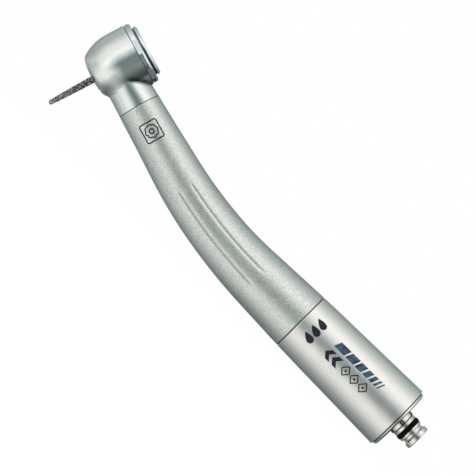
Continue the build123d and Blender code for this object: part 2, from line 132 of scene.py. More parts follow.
# ---- mesh helpers
def natural_spline(knots):
    """A smooth curve through points (x, y), as a function of x."""
    xs, ys = (np.array(column, float) for column in zip(*knots))
    gaps = np.diff(xs)
    rises = np.diff(ys) / gaps
    count = len(xs)
    system = np.eye(count)
    right = np.zeros(count)
    for i in range(1, count - 1):
        system[i, i - 1 : i + 2] = gaps[i - 1], 2 * (gaps[i - 1] + gaps[i]), gaps[i]
        right[i] = 6 * (rises[i] - rises[i - 1])
    bends = np.linalg.solve(system, right)

    def value(x):
        x = np.asarray(x, float)
        i = np.clip(np.searchsorted(xs, x) - 1, 0, count - 2)
        after, before = xs[i + 1] - x, x - xs[i]
        curve = (bends[i] * after**3 + bends[i + 1] * before**3) / (6 * gaps[i])
        left = (ys[i] / gaps[i] - bends[i] * gaps[i] / 6) * after
        return curve + left + (ys[i + 1] / gaps[i] - bends[i + 1] * gaps[i] / 6) * before

    return value


body_radius = natural_spline(BODY_RADII)
neck_width = natural_spline([(s, width) for s, width, _ in NECK_HALF_SIZES])
neck_height = natural_spline([(s, height) for s, _, height in NECK_HALF_SIZES])


def smoothstep(x, low, high):
    t = np.clip((np.asarray(x, float) - low) / (high - low), 0, 1)
    return t * t * (3 - 2 * t)


def centre(station):
    """Where a station is on the body's centre line, and how far the line has turned there."""
    station = np.asarray(station, float)
    turn = np.clip((station - ARC_START) / BEND_RADIUS, 0, BEND_ANGLE)
    before = np.minimum(station, ARC_START)
    beyond = np.maximum(station - ARC_END, 0)
    x = -before - BEND_RADIUS * np.sin(turn) - beyond * np.cos(turn)
    z = BEND_RADIUS * (1 - np.cos(turn)) + beyond * np.sin(turn)
    return x, z, turn


def axes_at(station):
    """The centre line's point at a station, its direction to the head, and the one up to the cap side."""
    x, z, turn = (float(value) for value in centre(station))
    forward = np.array((-math.cos(turn), 0, math.sin(turn)))
    upward = np.array((math.sin(turn), 0, math.cos(turn)))
    return np.array((x, 0, z)), forward, upward


seam_point, NECK_FORWARD, NECK_UP = axes_at(NECK_SEAM)
NECK_ORIGIN = seam_point - NECK_FORWARD * NECK_SEAM

# The painted shade in the crease where the head meets the neck, under the cap
NECK_ROUNDER = (1, 0.84, 1)  # scales the flared neck's oval section to about a circle
CREASE_NECK_RADIUS = 4.62  # that circle's radius at the crease
CREASE_START = 4.0  # how far from the head's axis, towards the body, the crease begins
CREASE_BOTTOM = -4.4  # the height on the head below which its painted shade fades away
CREASE_HEIGHTS = (-6.2, -2.2)  # between these heights the painted shade widens
CREASE_WIDTHS = (0.15, 1.25)
CREASE_STEEPNESS = (1.4, 0.35)  # how fast it fades away from the head's side, and below its bottom
CREASE_DARKEST = 0.16
PAINTED_SHADE_COLOUR = (0.05, 0.045, 0.035, 1)


def body_point(station, angle, radius):
    """A point around the centre line. The angle starts on the -Y side and goes up over the cap side."""
    x, z, turn = centre(station)
    up = radius * np.sin(angle)
    return np.stack([x + up * np.sin(turn), -radius * np.cos(angle), z + up * np.cos(turn)], axis=-1)


def grid_faces(rows, columns, close_rows=True):
    """Quads over a grid of points, row by row. Each row's ends are joined."""
    last_row = rows if close_rows else rows - 1
    i, j = np.meshgrid(np.arange(last_row), np.arange(columns), indexing="ij")
    i_next, j_next = (i + 1) % rows, (j + 1) % columns
    corners = (i * columns + j, i * columns + j_next, i_next * columns + j_next, i_next * columns + j)
    return np.stack(corners, axis=-1).reshape(-1, 4)


def add_object(name, data):
    obj = bpy.data.objects.new(name, data)
    bpy.context.scene.collection.objects.link(obj)
    return obj


def new_object(name, points, faces):
    """A mesh object from points in millimetres. Points that fall together, as at a pole, are merged."""
    mesh = bpy.data.meshes.new(name)
    metres = np.asarray(points, float).reshape(-1, 3) * MM
    mesh.from_pydata(metres.tolist(), [], np.asarray(faces).tolist())
    tidy = bmesh.new()
    tidy.from_mesh(mesh)
    bmesh.ops.remove_doubles(tidy, verts=tidy.verts, dist=1e-8)
    bmesh.ops.recalc_face_normals(tidy, faces=tidy.faces)
    tidy.to_mesh(mesh)
    tidy.free()
    return add_object(name, mesh)


def rounded(corners, steps=8):
    """An outline of (radius, height, rounding) corners, with each corner turned into an arc."""
    outline = []
    count = len(corners)
    for i, (r, h, rounding) in enumerate(corners):
        here = np.array((r, h), float)
        if rounding == 0:
            outline.append(here)
            continue
        before = np.array(corners[i - 1][:2], float) - here
        after = np.array(corners[(i + 1) % count][:2], float) - here
        before /= np.linalg.norm(before)
        after /= np.linalg.norm(after)
        half = math.acos(np.clip(before @ after, -1, 1)) / 2
        middle = (before + after) / np.linalg.norm(before + after)
        hub = here + middle * rounding / math.sin(half)
        start = here + before * rounding / math.tan(half) - hub
        end = here + after * rounding / math.tan(half) - hub
        span = math.pi - 2 * half
        for k in range(steps + 1):
            t = k / steps
            mix = (math.sin((1 - t) * span) * start + math.sin(t * span) * end) / math.sin(span)
            outline.append(hub + mix)
    return np.array(outline)


def box(inner, outer, low, high):
    """A rectangular outline. As a solid of revolution it is a plain ring, or a disc if inner is 0."""
    return [(inner, low), (outer, low), (outer, high), (inner, high)]


def turned(name, outline, origin, axis, side, segments=192):
    """A turned piece: an outline of (radius, height) points revolved about an axis.

    An outline that starts and ends on the axis needs no closing side.
    """
    angles = np.arange(segments) * 2 * math.pi / segments
    other = np.cross(axis, side)
    around = np.cos(angles)[:, None] * side + np.sin(angles)[:, None] * other
    outline = np.asarray(outline, float)
    points = outline[:, 0][:, None, None] * around[None] + (outline[:, 1][:, None] * axis)[:, None, :]
    hollow = outline[0, 0] > 0 or outline[-1, 0] > 0
    return new_object(name, points + origin, grid_faces(len(outline), segments, close_rows=hollow))


def turned_on_head(name, outline, segments=192, start_angle=0.0):
    side = math.cos(start_angle) * TO_BODY + math.sin(start_angle) * Y_AXIS
    return turned(name, outline, HEAD_ORIGIN, HEAD_UP, side, segments)


def turned_on_body(name, outline, segments=192):
    """Heights of the outline run along +X."""
    return turned(name, outline, np.zeros(3), np.array((1.0, 0, 0)), np.array((0, 0, 1.0)), segments)


def apply_modifiers(obj):
    """Turn what an object's modifiers make into its mesh, and return that."""
    graph = bpy.context.evaluated_depsgraph_get()
    mesh = bpy.data.meshes.new_from_object(obj.evaluated_get(graph))
    obj.modifiers.clear()
    obj.data = mesh
    return mesh


def combine(obj, operation, *tools, inside=None):
    """Cut or intersect a closed piece with closed tools, which are used up.

    The cut faces take the finish called inside, if one is given.
    """
    if inside:
        for tool in tools:
            tool.data.materials.append(inside)
    for tool in tools:
        modifier = obj.modifiers.new("combine", "BOOLEAN")
        modifier.operation = operation
        modifier.solver = "EXACT"
        modifier.object = tool
        modifier.material_mode = "TRANSFER" if inside else "INDEX"
    apply_modifiers(obj)
    for tool in tools:
        bpy.data.objects.remove(tool)


def rod(name, start, end, radius, segments=32):
    """A plain closed cylinder between two points, not along Y, used as a cutter."""
    start, end = np.asarray(start, float), np.asarray(end, float)
    axis = end - start
    length = np.linalg.norm(axis)
    axis = axis / length
    side = np.cross(axis, Y_AXIS)
    side /= np.linalg.norm(side)
    return turned(name, box(0, radius, 0, length), start, axis, side, segments)


def block(name, middle, *half_edges):
    """A box from its middle and three half edges, used as a cutter."""
    signs = [np.array((x, y, z)) for x in (-1, 1) for y in (-1, 1) for z in (-1, 1)]
    corners = [middle + sign @ np.array(half_edges) for sign in signs]
    ends = [(0, 1, 3, 2), (4, 6, 7, 5)]
    sides = [(0, 4, 5, 1), (2, 3, 7, 6), (0, 2, 6, 4), (1, 5, 7, 3)]
    return new_object(name, corners, ends + sides)


def finish_piece(obj, material, replaces=(), body="housing", sharp=32, weighted=True):
    """Give a piece its material, smooth shading and body, and hide the CAD parts it replaces."""
    if obj.data.materials:
        obj.data.materials[0] = material
    else:
        obj.data.materials.append(material)
    obj.data.shade_smooth()
    obj.data.set_sharp_from_angle(angle=math.radians(sharp))
    if weighted:
        modifier = obj.modifiers.new("even_normals", "WEIGHTED_NORMAL")
        modifier.keep_sharp = True
    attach(obj, body)
    if replaces:
        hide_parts(*replaces)


# ---- finishes
def set_inputs(node, values):
    """Set a node's inputs, by name, to constants."""
    for name, value in values.items():
        node.inputs[name].default_value = value


class Value:
    """A number, vector or colour that a node tree works out. Arithmetic on it adds nodes to the tree."""

    def __init__(self, tree, socket):
        self.tree = tree
        self.socket = socket

    def feed(self, socket):
        """Link this value to a node's input."""
        self.tree.links.new(self.socket, socket)

    def maths(self, operation, *others, kind="Math", output="Value"):
        node = self.tree.nodes.new("ShaderNode" + kind)
        node.operation = operation
        for socket, value in zip(node.inputs, (self, *others)):
            if isinstance(value, Value):
                value.feed(socket)
            else:
                socket.default_value = value
        return Value(self.tree, node.outputs[output])

    def vector(self, operation, *others, output="Vector"):
        return self.maths(operation, *others, kind="VectorMath", output=output)

    def __add__(self, other):
        return self.maths("ADD", other)

    def __sub__(self, other):
        return self.maths("SUBTRACT", other)

    def __mul__(self, other):
        return self.maths("MULTIPLY", other)

    def __truediv__(self, other):
        return self.maths("DIVIDE", other)

    def fade(self, start, end, first, last, kind="SMOOTHSTEP"):
        """Go from one number to another while this value goes from start to end."""
        node = self.tree.nodes.new("ShaderNodeMapRange")
        node.interpolation_type = kind
        set_inputs(node, {"From Min": start, "From Max": end, "To Min": first, "To Max": last})
        self.feed(node.inputs["Value"])
        return Value(self.tree, node.outputs["Result"])

    def colour_between(self, low, high, low_at=0.3, high_at=0.7):
        ramp = self.tree.nodes.new("ShaderNodeValToRGB")
        for element, position, colour in zip(ramp.color_ramp.elements, (low_at, high_at), (low, high)):
            element.position = position
            element.color = (*colour, 1)
        self.feed(ramp.inputs["Fac"])
        return Value(self.tree, ramp.outputs["Color"])

    def noise(self, feature_mm, detail=2.0):
        """Noise at this place, whose features measure about feature_mm."""
        texture = self.tree.nodes.new("ShaderNodeTexNoise")
        set_inputs(texture, {"Scale": 1 / (feature_mm * MM), "Detail": detail})
        self.feed(texture.inputs["Vector"])
        return Value(self.tree, texture.outputs["Fac"])


def painted_crease_shade(place):
    """The painted shade's share of light: 1 away from the crease of head and neck, less inside it."""

    def along(point, axis):
        return point.vector("DOT_PRODUCT", axis, output="Value")

    def away_from(point, axis):
        return point.vector("CROSS_PRODUCT", axis).vector("LENGTH", output="Value")

    side_steepness, bottom_steepness = CREASE_STEEPNESS
    from_head = place.vector("SUBTRACT", HEAD_ORIGIN * MM)
    from_neck = place.vector("SUBTRACT", NECK_ORIGIN * MM).vector("MULTIPLY", NECK_ROUNDER)
    height = along(from_head, HEAD_UP)
    off_head = (away_from(from_head, HEAD_UP) - HEAD_RADIUS * MM) * side_steepness
    off_neck = away_from(from_neck, NECK_FORWARD) - CREASE_NECK_RADIUS * MM
    before_start = along(from_head, TO_BODY) * -1 + CREASE_START * MM
    below_bottom = (height * -1 + CREASE_BOTTOM * MM) * bottom_steepness
    off = off_head.maths("MAXIMUM", off_neck).maths("MAXIMUM", before_start.maths("MAXIMUM", below_bottom))
    heights, widths = (np.array(ends) * MM for ends in (CREASE_HEIGHTS, CREASE_WIDTHS))
    width = height.fade(*heights, *widths, kind="LINEAR")
    return (off / width).fade(0.0, 1.0, CREASE_DARKEST, 1.0)


POLISHED = (0.8, 0.25, 0.0006)  # scales of finishes, as surface() takes them
MOULDED = (0.4, 0.08, 0.002)
PAINTED_SHADE_SCALES = (0.3, 0.2, 0.002)


def mix_shaders(tree, share, first, second):
    """Both shaders' nodes, mixed by the second one's share. Returns the mix's output."""
    mix = tree.nodes.new("ShaderNodeMixShader")
    for socket, node_output in zip(mix.inputs, (share, first.outputs[0], second.outputs[0])):
        tree.links.new(node_output, socket)
    return mix.outputs["Shader"]


def surface(name, low, high, roughness, scales, metallic=1.0, sheen=0.5, shade=None):
    """A procedural finish, whose colour and roughness each vary between two ends.

    The scales are millimetres: the size of the colour's patches (the roughness has patches nine times
    as large), the size of a fine grain, and how high it bumps. A shade darkens the colour as painted shade.
    """
    colour_mm, grain_mm, bump_mm = scales
    material = bpy.data.materials.new(name)
    material.use_nodes = True
    tree = material.node_tree
    shader = tree.nodes["Principled BSDF"]
    set_inputs(shader, {"Metallic": metallic, "Specular IOR Level": sheen})
    place = Value(tree, tree.nodes.new("ShaderNodeTexCoord").outputs["Object"])
    colour = place.noise(colour_mm, detail=3.0).colour_between(low, high)
    if shade:
        # painted shade: the colour is mixed towards a near-black where the shade is below 1
        painted_shade_mix = tree.nodes.new("ShaderNodeMixRGB")
        shade(place).feed(painted_shade_mix.inputs["Fac"])
        painted_shade_mix.inputs["Color1"].default_value = PAINTED_SHADE_COLOUR
        colour.feed(painted_shade_mix.inputs["Color2"])
        colour = Value(tree, painted_shade_mix.outputs["Color"])
    colour.feed(shader.inputs["Base Color"])
    patches = place.noise(colour_mm * 9, detail=4.0)
    patches.fade(0.3, 0.7, *roughness, kind="LINEAR").feed(shader.inputs["Roughness"])
    bump = tree.nodes.new("ShaderNodeBump")
    set_inputs(bump, {"Strength": 1.0, "Distance": bump_mm * MM})
    place.noise(grain_mm).feed(bump.inputs["Height"])
    tree.links.new(bump.outputs["Normal"], shader.inputs["Normal"])
    return material


# The head's colour carries painted shade in the crease under the cap.
HEAD_SATIN = surface(
    "head_satin", (0.60, 0.635, 0.62), (0.66, 0.695, 0.68), (0.18, 0.23), (0.4, 0.14, 0.0026),
    shade=painted_crease_shade,
)
SLEEVE_SATIN = surface(
    "sleeve_satin", (0.615, 0.62, 0.60), (0.67, 0.675, 0.65), (0.28, 0.33), (0.4, 0.12, 0.0016)
)
BLASTED = surface(
    "blasted_titanium", (0.33, 0.35, 0.34), (0.73, 0.765, 0.73), (0.30, 0.37), (0.17, 0.16, 0.014)
)
CAP_STEEL = surface("cap_steel", (0.62, 0.66, 0.69), (0.68, 0.72, 0.76), (0.14, 0.19), POLISHED)
PLUG_STEEL = surface("plug_steel", (0.56, 0.55, 0.52), (0.66, 0.65, 0.62), (0.04, 0.08), POLISHED)
# Near-black steel, for painted shade in the gap under the button's flange.
SHADED_STEEL = surface("shaded_steel", (0.06, 0.065, 0.06), (0.10, 0.11, 0.10), (0.05, 0.10), POLISHED)
# Near-black steel, for painted shade inside the plug's windows, ports, cavity and grooves.
RECESS_PAINTED_SHADE = surface("recess_painted_shade", (0.035, 0.03, 0.026), (0.09, 0.08, 0.07), (0.3, 0.45), PAINTED_SHADE_SCALES)
# Near-black, for painted shadow at the bottom of the gaps between parts.
SEAM_PAINTED_SHADOW = surface(
    "seam_painted_shadow", (0.004, 0.004, 0.004), (0.012, 0.011, 0.010), (0.5, 0.65), PAINTED_SHADE_SCALES, metallic=0.2, sheen=0.15
)
TURNED_STEEL = surface(
    "turned_steel", (0.58, 0.58, 0.57), (0.66, 0.66, 0.65), (0.22, 0.34), (0.6, 0.1, 0.001)
)
SHANK_STEEL = surface(
    "ground_shank_steel", (0.55, 0.55, 0.54), (0.64, 0.64, 0.63), (0.14, 0.24), (0.5, 0.1, 0.0012)
)
BEARING_STEEL = surface(
    "bearing_steel", (0.66, 0.66, 0.68), (0.74, 0.74, 0.76), (0.06, 0.12), (0.8, 0.2, 0.0004)
)
ALLOY = surface("light_alloy", (0.74, 0.74, 0.75), (0.82, 0.82, 0.83), (0.28, 0.38), (0.6, 0.1, 0.0015))
BRASS = surface("brass", (0.70, 0.52, 0.26), (0.80, 0.62, 0.33), (0.22, 0.34), (0.6, 0.1, 0.0012))
RUBBER = surface(
    "seal_rubber", (0.002, 0.002, 0.002), (0.004, 0.004, 0.004), (0.5, 0.62), MOULDED,
    metallic=0.0, sheen=0.04,
)
POLYMER = surface(
    "cage_polymer", (0.36, 0.22, 0.10), (0.46, 0.29, 0.14), (0.40, 0.52), MOULDED, metallic=0.0
)
LASER_INK = surface(
    "laser_mark", (0.006, 0.007, 0.010), (0.016, 0.022, 0.032), (0.40, 0.50), (0.5, 0.08, 0.002),
    metallic=0.3, sheen=0.3,
)
BLUE_INK = surface(
    "blue_laser_mark", (0.006, 0.010, 0.018), (0.075, 0.145, 0.22), (0.35, 0.45), (1.3, 0.08, 0.002),
    metallic=0.5, sheen=0.3,
)
NICKEL_BOND = surface(
    "nickel_bond", (0.008, 0.008, 0.007), (0.05, 0.05, 0.045), (0.32, 0.50), (0.16, 0.06, 0.006)
)
DIAMOND = surface(
    "diamond_grit", (0.004, 0.004, 0.004), (1.0, 1.0, 0.96), (0.2, 0.32), (0.34, 0.1, 0.004), metallic=0.85
)

SLOT_MATERIALS = {
    "satin_shell": HEAD_SATIN, "blasted_grip": BLASTED, "polished_steel": CAP_STEEL,
    "plain_steel": TURNED_STEEL, "bearing_steel": BEARING_STEEL, "light_alloy": ALLOY, "brass_insert": BRASS,
    "seal_rubber": RUBBER, "cage_polymer": POLYMER, "diamond_grit": NICKEL_BOND,
}
for part in frame["record"]["subparts"]:
    cad_object = frame["nodes"][part["node"]]
    cad_object.data.materials.clear()
    cad_object.data.materials.append(SLOT_MATERIALS[part["material_slot"]])


# ---- the shells
def rim_drop(station, start, end, size):
    """How far a shell's surface drops near its ends, where the rims are rounded."""
    inside = np.clip(np.minimum(station - start, end - station) / size, 0, 1)
    return size * (1 - np.sqrt(1 - (1 - inside) ** 2))


def shell(name, start, end, count, angles_at, depth_at=None, edge=0.1):
    """A thin tube along the centre line, with its edges rounded and its outside marked by depth_at."""
    rim = edge * np.array((0, 0.05, 0.15, 0.3, 0.5, 0.75, 1.0))
    between_rims = np.linspace(start + edge, end - edge, count)[1:-1]
    stations = np.concatenate([start + rim, between_rims, end - rim[::-1]])
    rows = []
    for s in stations:
        angles = angles_at(s)
        depth = depth_at(s, angles) if depth_at else 0 * angles
        radius = body_radius(s) - rim_drop(s, start, end, edge) - depth
        rows.append(body_point(s, angles, radius))
    for s in np.linspace(end, start, 24):
        angles = angles_at(s)
        rows.append(body_point(s, angles, body_radius(s) - SHELL_WALL + 0 * angles))
    points = np.array(rows)
    return new_object(name, points, grid_faces(points.shape[0], points.shape[1]))


def even_angles(_station, count=256):
    """The same angles all around at every station."""
    return np.arange(count) * 2 * math.pi / count


GROOVE_LINES = np.linspace(-0.95, 0.7, 41)  # how far around from a groove's middle its points lie


def grip_angles(station):
    """Angles around the grip, with lines of points that follow the four grooves."""
    outward = GROOVE_ANGLE + GROOVE_LINES / body_radius(station)
    inward = -outward[::-1]
    bundles = (inward, outward, math.pi + inward, math.pi + outward)
    angles = []
    for k, bundle in enumerate(bundles):
        following = bundles[(k + 1) % 4][0] + (2 * math.pi if k == 3 else 0)
        count = 16 if k in (0, 2) else 72
        angles.extend(bundle)
        angles.extend(np.linspace(bundle[-1], following, count)[1:-1])
    return np.array(angles)


def groove_depth(station, angles):
    """The four side grooves, round in section, which fade out at both ends."""
    start, end = GROOVE_ENDS
    fade = smoothstep(station, start, start + GROOVE_FADE)
    fade = fade * (1 - smoothstep(station, end - GROOVE_FADE, end))
    from_side = np.abs(np.mod(angles + math.pi / 2, math.pi) - math.pi / 2)
    off = (from_side - GROOVE_ANGLE) * body_radius(station)
    spread = np.where(off < 0, *GROOVE_SPREAD)
    return GROOVE_DEPTH * fade * np.exp(-0.5 * (off / spread) ** 2)


sleeve_end, grip_start = BODY_SEAM - BODY_SEAM_GAP / 2, BODY_SEAM + BODY_SEAM_GAP / 2
grip_end, neck_end = NECK_SEAM - NECK_SEAM_GAP / 2, NECK_SEAM + NECK_SEAM_GAP / 2
sleeve = shell("rear_sleeve_shell", SLEEVE_REAR, sleeve_end, 90, even_angles)
finish_piece(sleeve, SLEEVE_SATIN, ["rear_sleeve"])
grip = shell("grip_shell", grip_start, grip_end, 300, grip_angles, groove_depth)
finish_piece(grip, BLASTED, ["grip_body"], sharp=60, weighted=False)


def seam_shadow(name, station, gap):
    """A near-black ring at the bottom of the narrow gap where two shells meet: painted shadow."""
    point, forward, upward = axes_at(station)
    outer = float(body_radius(station)) - SEAM_DEPTH
    half = gap / 2 - 0.005
    ring = turned(name, box(outer - 0.4, outer, -half, half), point, forward, upward)
    finish_piece(ring, SEAM_PAINTED_SHADOW)


seam_shadow("body_seam_shadow", BODY_SEAM, BODY_SEAM_GAP)
seam_shadow("neck_seam_shadow", NECK_SEAM, NECK_SEAM_GAP)


# ---- the head
def round_off(points, corner, radius):
    """Replace the stretch of an outline near a corner by a curve that touches both sides."""
    points = np.array(points)
    corner = np.array(corner)
    at = int(np.argmin(np.linalg.norm(points - corner, axis=1)))
    reach = radius * 0.62  # how far from the corner the curve starts, for the nose's blunt corner
    before = [p for p in points[:at] if np.linalg.norm(p - corner) > reach]
    after = [p for p in points[at + 1 :] if np.linalg.norm(p - corner) > reach]
    t = np.linspace(0, 1, 14)[1:-1, None]
    curve = (1 - t) ** 2 * before[-1] + 2 * t * (1 - t) * corner + t**2 * after[0]
    return np.vstack([before, curve, after])


def head_outline():
    """The head's outer half section, from the nose on the axis up to the straight side's blank top."""
    nose_r, nose_h = NOSE_CORNER
    radii = np.linspace(0, nose_r, 20)
    dome = [(r, NOSE_BOTTOM + (nose_h - NOSE_BOTTOM) * (r / nose_r) ** 2) for r in radii]
    hub = HEAD_RADIUS - SIDE_ARC_RADIUS
    side = [
        (hub + math.sqrt(SIDE_ARC_RADIUS**2 - (h - SIDE_END) ** 2), h)
        for h in np.linspace(nose_h, SIDE_END, 32)
    ]
    return round_off(dome + side[1:] + [(HEAD_RADIUS, BLANK_TOP)], NOSE_CORNER, NOSE_ROUNDING)


def distance_to_outline(r, h, outline):
    """Signed distance in the half section, negative inside the closed outline."""
    best = np.full(r.shape, 1e9)
    inside = np.zeros(r.shape, bool)
    ring = np.vstack([outline, [(0, outline[-1][1])]])
    for (r0, h0), (r1, h1) in zip(ring, np.roll(ring, -1, axis=0)):
        edge_r, edge_h = r1 - r0, h1 - h0
        crosses = (h0 > h) != (h1 > h)
        if edge_h != 0:
            inside ^= crosses & (r < r0 + (h - h0) * edge_r / edge_h)
        if r0 == 0 and r1 == 0:
            continue
        t = np.clip(((r - r0) * edge_r + (h - h0) * edge_h) / (edge_r**2 + edge_h**2), 0, 1)
        best = np.minimum(best, np.hypot(r - r0 - t * edge_r, h - h0 - t * edge_h))
    return np.where(inside, -best, best)


HEAD_OUTLINE = head_outline()


def tuck(height):
    """What distances towards the neck are divided by at a height on the head, to draw in the nose."""
    return 1 + NOSE_TUCK * (1 - smoothstep(height, *NOSE_TUCK_HEIGHTS))


def head_distance(points):
    """Signed distance to the head: its turned form joined to the flared neck.

    The join is crisp on the cap side, and it turns into a soft fillet towards the nose.
    """
    from_head = points - HEAD_ORIGIN
    height = from_head @ HEAD_UP
    toward_body = from_head @ TO_BODY
    radius = np.hypot(np.where(toward_body > 0, toward_body * tuck(height), toward_body), from_head[:, 1])
    head = distance_to_outline(radius, height, HEAD_OUTLINE)
    from_neck = points - NECK_ORIGIN
    station = from_neck @ NECK_FORWARD
    x, y = from_neck[:, 1], from_neck @ NECK_UP
    near = np.clip(station, NECK_HALF_SIZES[0][0], NECK_HALF_SIZES[-1][0])
    a, b = neck_width(near), neck_height(near)
    ratio = np.sqrt((x / a) ** 2 + (y / b) ** 2) + 1e-9  # 1 on the neck's surface
    neck = (ratio - 1) * ratio / np.sqrt(x**2 / a**4 + y**2 / b**4 + 1e-12)
    neck = np.maximum(neck, station - NECK_INNER_END)
    blend = SOFT_BLEND + (CRISP_BLEND - SOFT_BLEND) * smoothstep(height, *BLEND_HEIGHTS)
    share = np.clip(0.5 + 0.5 * (neck - head) / blend, 0, 1)
    return neck * (1 - share) + head * share - blend * share * (1 - share)


def settle_on_head(points, rounds=6, probe=0.01, longest_step=0.15):
    """Move points onto the head's surface, by Newton steps along the gradient."""
    for _ in range(rounds):
        value = head_distance(points)
        ahead = [head_distance(points + probe * axis) for axis in np.eye(3)]
        behind = [head_distance(points - probe * axis) for axis in np.eye(3)]
        slope = (np.array(ahead) - np.array(behind)).T / (2 * probe)
        size = np.maximum((slope**2).sum(axis=1), 0.05)
        points = points - np.clip(value / size, -longest_step, longest_step)[:, None] * slope
    return points


def head_blank():
    """The outside of the head and neck as one dense closed mesh, longer than the piece at both ends."""
    body = turned_on_head("head_shell", [*HEAD_OUTLINE, (0, BLANK_TOP)], 160)
    for vertex in body.data.vertices:
        from_head = np.array(vertex.co) / MM - HEAD_ORIGIN
        toward_body = max(float(from_head @ TO_BODY), 0.0)
        drawn_in = toward_body - toward_body / float(tuck(from_head @ HEAD_UP))
        vertex.co -= Vector(drawn_in * MM * TO_BODY)
    stations = np.linspace(NECK_HALF_SIZES[0][0] - 1, NECK_INNER_END - 1.5, 40)
    angles = even_angles(0, 120)
    rows = []
    for s in stations:
        near = np.clip(s, NECK_HALF_SIZES[0][0], NECK_HALF_SIZES[-1][0])
        ring = np.outer(np.cos(angles) * neck_width(near), Y_AXIS)
        ring = ring + np.outer(np.sin(angles) * neck_height(near), NECK_UP)
        rows.append(NECK_ORIGIN + s * NECK_FORWARD + ring)
    first, last = (np.tile(NECK_ORIGIN + s * NECK_FORWARD, (len(angles), 1)) for s in stations[[0, -1]])
    points = np.array([first, *rows, last])
    neck = new_object("neck_blank", points, grid_faces(len(points), len(angles), close_rows=False))
    joined = bmesh.new()
    joined.from_mesh(body.data)
    joined.from_mesh(neck.data)
    joined.to_mesh(body.data)
    joined.free()
    bpy.data.objects.remove(neck)
    remesh = body.modifiers.new("remesh", "REMESH")
    remesh.mode = "VOXEL"
    remesh.voxel_size = VOXEL * MM
    mesh = apply_modifiers(body)
    points = np.zeros(len(mesh.vertices) * 3, np.float32)
    mesh.vertices.foreach_get("co", points)
    points = settle_on_head(points.reshape(-1, 3).astype(float) / MM)
    mesh.vertices.foreach_set("co", (points * MM).astype(np.float32).ravel())
    mesh.update()
    return body


def turned_on_neck(name, outline):
    return turned(name, outline, NECK_ORIGIN, NECK_FORWARD, NECK_UP, 128)


def round_head(radius, turn, height):
    """A point around the head's axis. The turn starts towards the body and goes over to +Y."""
    v, y = radius * math.cos(turn), radius * math.sin(turn)
    return HEAD_ORIGIN + v * TO_BODY + y * Y_AXIS + height * HEAD_UP


CHAMBER = (  # the hollow for the turbine: radius, height
    (0, NOSE_BOTTOM - 1), (1.75, NOSE_BOTTOM - 1), (1.75, -11.0), (3.72, -11.0), (3.72, -8.2),
    (5.0, -8.2), (5.0, -4.6), (5.9, -4.6), (5.9, -1.97), (6.32, -1.97), (6.32, 3.0), (0, 3.0),
)
head = head_blank()
cutters = [
    turned_on_head("chamber", CHAMBER, 128),
    turned_on_head("top_trim", box(6.0, 9.0, HEAD_TOP, 3.5), 128),
    turned_on_neck("neck_trim", box(0.0, 7.0, 80.0, neck_end)),
    turned_on_neck("neck_bore", box(0.0, NECK_BORE, 86.0, 90.7)),
]
for quarter in range(4):
    turn = math.radians(45 + 90 * quarter)
    start, end = (round_head(radius, turn, height) for radius, height in SPRAY_PORT)
    cutters.append(rod(f"spray_port_{quarter}", start, end, SPRAY_PORT_RADIUS))
combine(head, "DIFFERENCE", *cutters)
finish_piece(head, HEAD_SATIN, ["head_housing"], sharp=50)

spigot = turned_on_neck("neck_spigot", box(NECK_BORE, SPIGOT_RADIUS, SPIGOT_START, neck_end))
finish_piece(spigot, TURNED_STEEL)


# ---- the cap and button
RING_RADIUS = 6.88
RING_BOTTOM = -0.6
ring_outline = rounded([
    (5.55, 0.4, 0.06), (6.05, 0.4, 0.0), (6.05, 0.65, 0.05), (RING_RADIUS, 0.65, 0.6),
    (RING_RADIUS, RING_BOTTOM, 0.04), (6.3, RING_BOTTOM, 0.0), (6.3, -1.42, 0.0), (5.9, -1.42, 0.0),
    (5.9, -0.15, 0.0), (5.55, -0.15, 0.0),
], steps=16)
cap_ring = turned_on_head("cap_screw_ring", ring_outline, 288)
corner_radius = FLATS_APOTHEM / math.cos(math.pi / 6)
hexagon = turned_on_head("hexagon", box(0, corner_radius, -3, 3), 6, FLATS_TURN + math.pi / 6)
combine(cap_ring, "INTERSECT", hexagon)
finish_piece(cap_ring, CAP_STEEL, ["cap_ring"], sharp=9)
# Painted shadow in the gap between the head's top and the cap ring.
cap_gap = turned_on_head("cap_seam_shadow", box(6.33, 6.6, HEAD_TOP, RING_BOTTOM))
finish_piece(cap_gap, SEAM_PAINTED_SHADOW)

BUTTON_RADIUS = 5.75
BUTTON_NECK = 5.5
button_outline = rounded([
    (0, 1.68, 0), (BUTTON_RADIUS - 0.36, 1.68, 0.1), (BUTTON_RADIUS, 1.2, 0.12),
    (BUTTON_RADIUS, 1.02, 0.05), (BUTTON_NECK - 0.05, 1.02, 0),
    (BUTTON_NECK - 0.05, -0.2, 0), (5.75, -0.2, 0.05), (5.75, -0.65, 0.05), (4.9, -0.65, 0.05),
    (4.9, 0.9, 0.1), (2.6, 0.9, 0.1), (2.6, -0.3, 0.05), (1.0, -0.3, 0.05), (1.0, -1.1, 0.05),
    (0.6, -1.1, 0), (0.6, -1.35, 0.1), (0, -1.35, 0),
])
button = turned_on_head("push_button_cap", button_outline)
finish_piece(button, CAP_STEEL, ["push_button"], body="button")
# A dark band on the button's neck: painted shade in the gap under its flange.
shade_band = turned_on_head("push_button_neck", box(BUTTON_NECK - 0.1, BUTTON_NECK, -0.15, 1.0))
finish_piece(shade_band, SHADED_STEEL, body="button")

